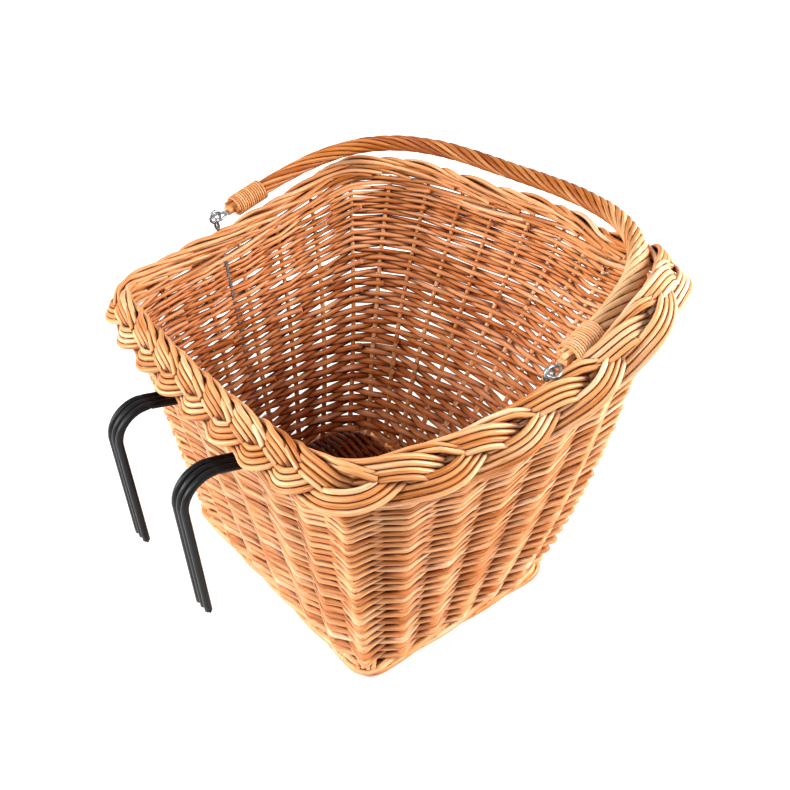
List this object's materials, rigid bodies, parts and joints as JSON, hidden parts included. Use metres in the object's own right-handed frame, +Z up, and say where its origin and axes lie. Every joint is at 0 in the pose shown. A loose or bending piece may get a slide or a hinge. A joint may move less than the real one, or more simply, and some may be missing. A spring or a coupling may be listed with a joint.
{
  "type": "bicycle basket",
  "caption": "Open woven willow basket with a plaited border, a roped handle that swings on wire eyes, and steel hooks that hang it on a bicycle handlebar.",
  "frame": {"origin": "on the floor under the middle of the part's box, hooks included", "axes": "+X along the hook wall, +Y from the hook wall to the front, +Z up"},
  "size_m": [0.4248, 0.4535, 0.2916],
  "materials": {
    "willow": "satin varnish",
    "willow_inside": "satin varnish",
    "willow_skein": "satin varnish",
    "black_coated_steel": "semi-gloss plastic coat",
    "zinc_wire": "bright zinc"
  },
  "bodies": {
    "basket": {"base_stick_1": "willow_inside", "base_stick_2": "willow_inside", "base_stick_3": "willow_inside", "base_stick_4": "willow_inside", "base_stick_5": "willow_inside", "base_stick_6": "willow_inside", "base_stick_7": "willow_inside", "base_weaver": "willow_inside", "foot_roll": "willow", "stake_01": "willow", "stake_02": "willow", "stake_03": "willow", "stake_04": "willow", "stake_05": "willow", "stake_06": "willow", "stake_07": "willow", "stake_08": "willow", "stake_09": "willow", "stake_10": "willow", "stake_11": "willow", "stake_12": "willow", "stake_13": "willow", "stake_14": "willow", "stake_15": "willow", "stake_16": "willow", "stake_17": "willow", "stake_18": "willow", "stake_19": "willow", "stake_20": "willow", "stake_21": "willow", "stake_22": "willow", "stake_23": "willow", "stake_24": "willow", "stake_25": "willow", "stake_26": "willow", "stake_27": "willow", "siding_weaver_1": "willow", "siding_weaver_2": "willow", "siding_weaver_3": "willow", "siding_weaver_4": "willow", "siding_weaver_5": "willow", "rim_wale": "willow", "border_strand_1": "willow", "border_strand_2": "willow", "border_strand_3": "willow", "hook_left_rod_1": "black_coated_steel", "hook_left_rod_2": "black_coated_steel", "hook_left_rod_3": "black_coated_steel", "hook_right_rod_1": "black_coated_steel", "hook_right_rod_2": "black_coated_steel", "hook_right_rod_3": "black_coated_steel", "rim_eye_left": "zinc_wire", "rim_eye_right": "zinc_wire"},
    "handle": {"handle_core": "willow_inside", "handle_roping": "willow", "whipping_left": "willow_skein", "whipping_right": "willow_skein", "handle_link_left": "zinc_wire", "handle_link_right": "zinc_wire"}
  },
  "joints": [
    {"name": "handle_swing", "type": "hinge", "parent": "basket", "child": "handle", "pos_m": [0, -0.0193, 0.259], "axis": [0.9895, 0.1444, 0], "range_deg": [0, 166]}
  ]
}
